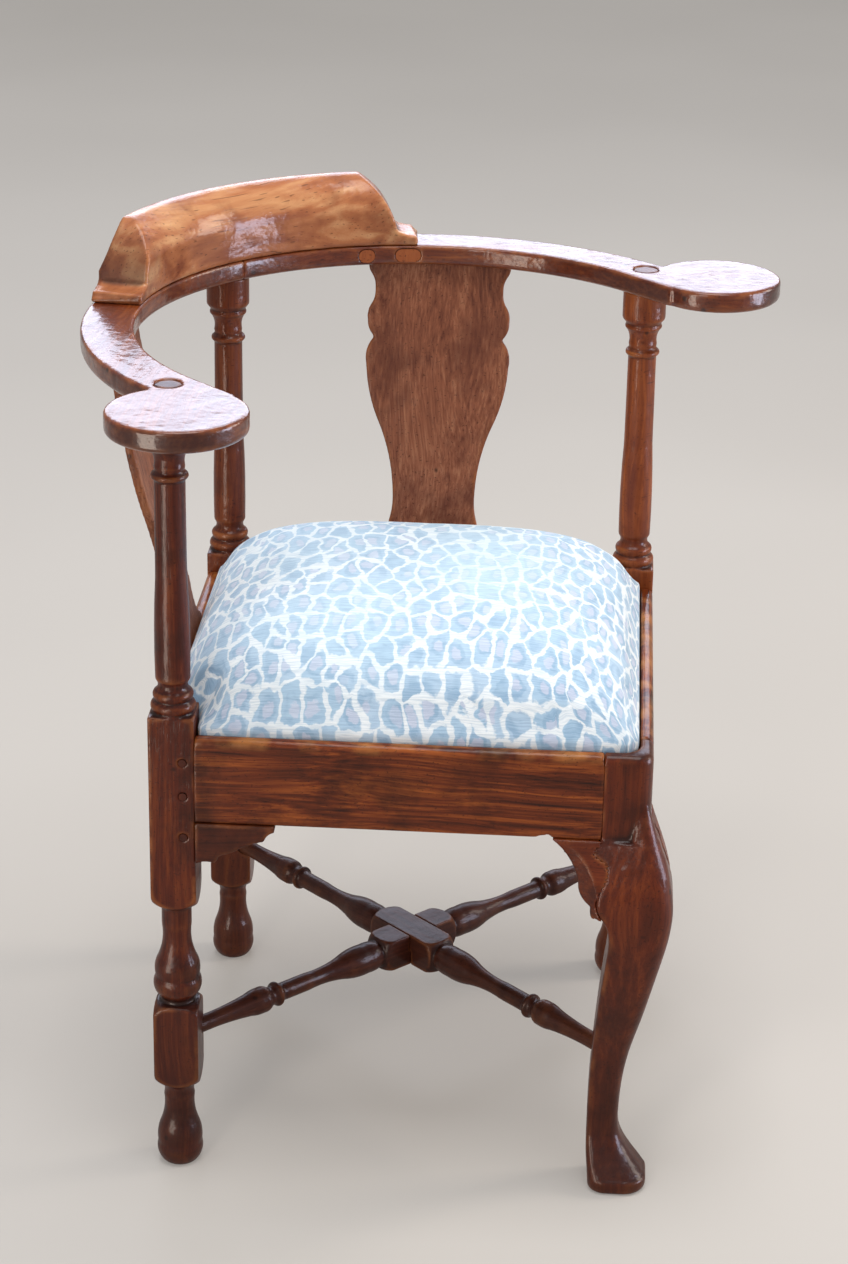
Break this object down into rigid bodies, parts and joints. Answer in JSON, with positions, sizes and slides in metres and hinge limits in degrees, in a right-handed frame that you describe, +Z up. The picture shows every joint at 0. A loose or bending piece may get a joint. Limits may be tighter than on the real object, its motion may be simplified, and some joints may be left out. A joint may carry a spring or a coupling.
{
  "type": "corner chair",
  "caption": "Corner armchair: a square seat set cornerwise on turned posts and a curved front leg, with a half-round arm bow, shaped splats, crossed stretchers and a lift-out padded seat.",
  "frame": {"origin": "on the floor under the middle of the chair's outline, 17 mm ahead of the seat's middle", "axes": "+X to the right of someone facing the chair, +Y to the back post, away from the curved front leg, +Z up"},
  "size_m": [0.77, 0.6606, 0.834],
  "materials": {
    "polished_wood": "old polish",
    "plain_wood": "unfinished",
    "webbing": "woven",
    "base_cloth": "coarse woven",
    "stuffing": "fibrous",
    "cover_fabric": "matte woven",
    "iron": "dull"
  },
  "bodies": {
    "frame": {"right_post": "polished_wood", "back_post": "polished_wood", "left_post": "polished_wood", "front_leg": "polished_wood", "back_right_rail": "polished_wood", "back_left_rail": "polished_wood", "front_left_rail": "polished_wood", "front_right_rail": "polished_wood", "left_post_bracket": "polished_wood", "right_post_bracket": "polished_wood", "left_knee_bracket": "polished_wood", "right_knee_bracket": "polished_wood", "right_arm": "polished_wood", "left_arm": "polished_wood", "crest": "polished_wood", "right_splat": "polished_wood", "left_splat": "polished_wood", "side_stretcher": "polished_wood", "front_back_stretcher": "polished_wood", "joint_pegs": "polished_wood", "arm_plugs": "polished_wood", "arm_dowel": "polished_wood", "bracket_nails": "iron", "crest_screws": "iron"},
    "drop_in_seat": {"seat_slip_back_right": "plain_wood", "seat_slip_back_left": "plain_wood", "seat_slip_front_left": "plain_wood", "seat_slip_front_right": "plain_wood", "seat_slip_dowels": "plain_wood", "seat_straps_lower": "webbing", "seat_straps_upper": "webbing", "seat_base_cloth": "base_cloth", "seat_pad": "stuffing", "seat_cover": "cover_fabric", "seat_tacks": "iron"}
  },
  "joints": [
    {"name": "seat_lift", "type": "slide", "parent": "frame", "child": "drop_in_seat", "axis": [0, 0, 1], "range_m": [0, 0.15]}
  ]
}
